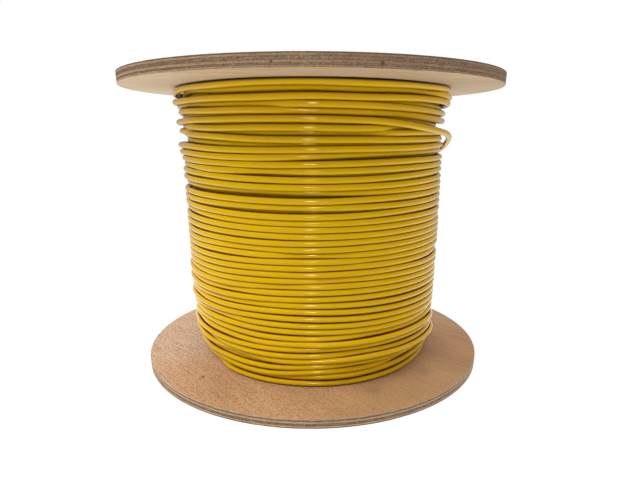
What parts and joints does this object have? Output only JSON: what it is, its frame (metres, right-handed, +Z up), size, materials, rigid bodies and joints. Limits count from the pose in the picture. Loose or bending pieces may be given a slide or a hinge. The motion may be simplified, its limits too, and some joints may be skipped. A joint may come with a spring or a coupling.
{
  "type": "wire spool",
  "caption": "Cable reel with two round plywood flanges bolted over a fibre drum, arbor hole through the middle, wound full of yellow jacketed cable.",
  "frame": {"origin": "centre of the lower flange's outer face, on the reel's axis, where the reel stands", "axes": "+Z up along the reel's axis towards the flange that the cable's start comes out of; the picture looks along +Y; +X is to its right"},
  "size_m": [0.3556, 0.3556, 0.2835],
  "materials": {
    "plywood": "satin",
    "drum_fibre": "matte",
    "steel": "satin",
    "jacket": "gloss"
  },
  "bodies": {
    "root": {"bottom_flange": "plywood", "top_flange": "plywood", "drum_tube": "drum_fibre", "tie_bolt_1": "steel", "tie_bolt_2": "steel", "tie_bolt_3": "steel", "tie_bolt_4": "steel", "washer_1": "steel", "washer_2": "steel", "washer_3": "steel", "washer_4": "steel", "tee_nut_1": "steel", "tee_nut_2": "steel", "tee_nut_3": "steel", "tee_nut_4": "steel", "staple_1": "steel", "staple_2": "steel", "staple_3": "steel", "cable_inner_layers": "jacket", "cable_outer_layer": "jacket", "cable_start_tail": "jacket"}
  },
  "joints": []
}
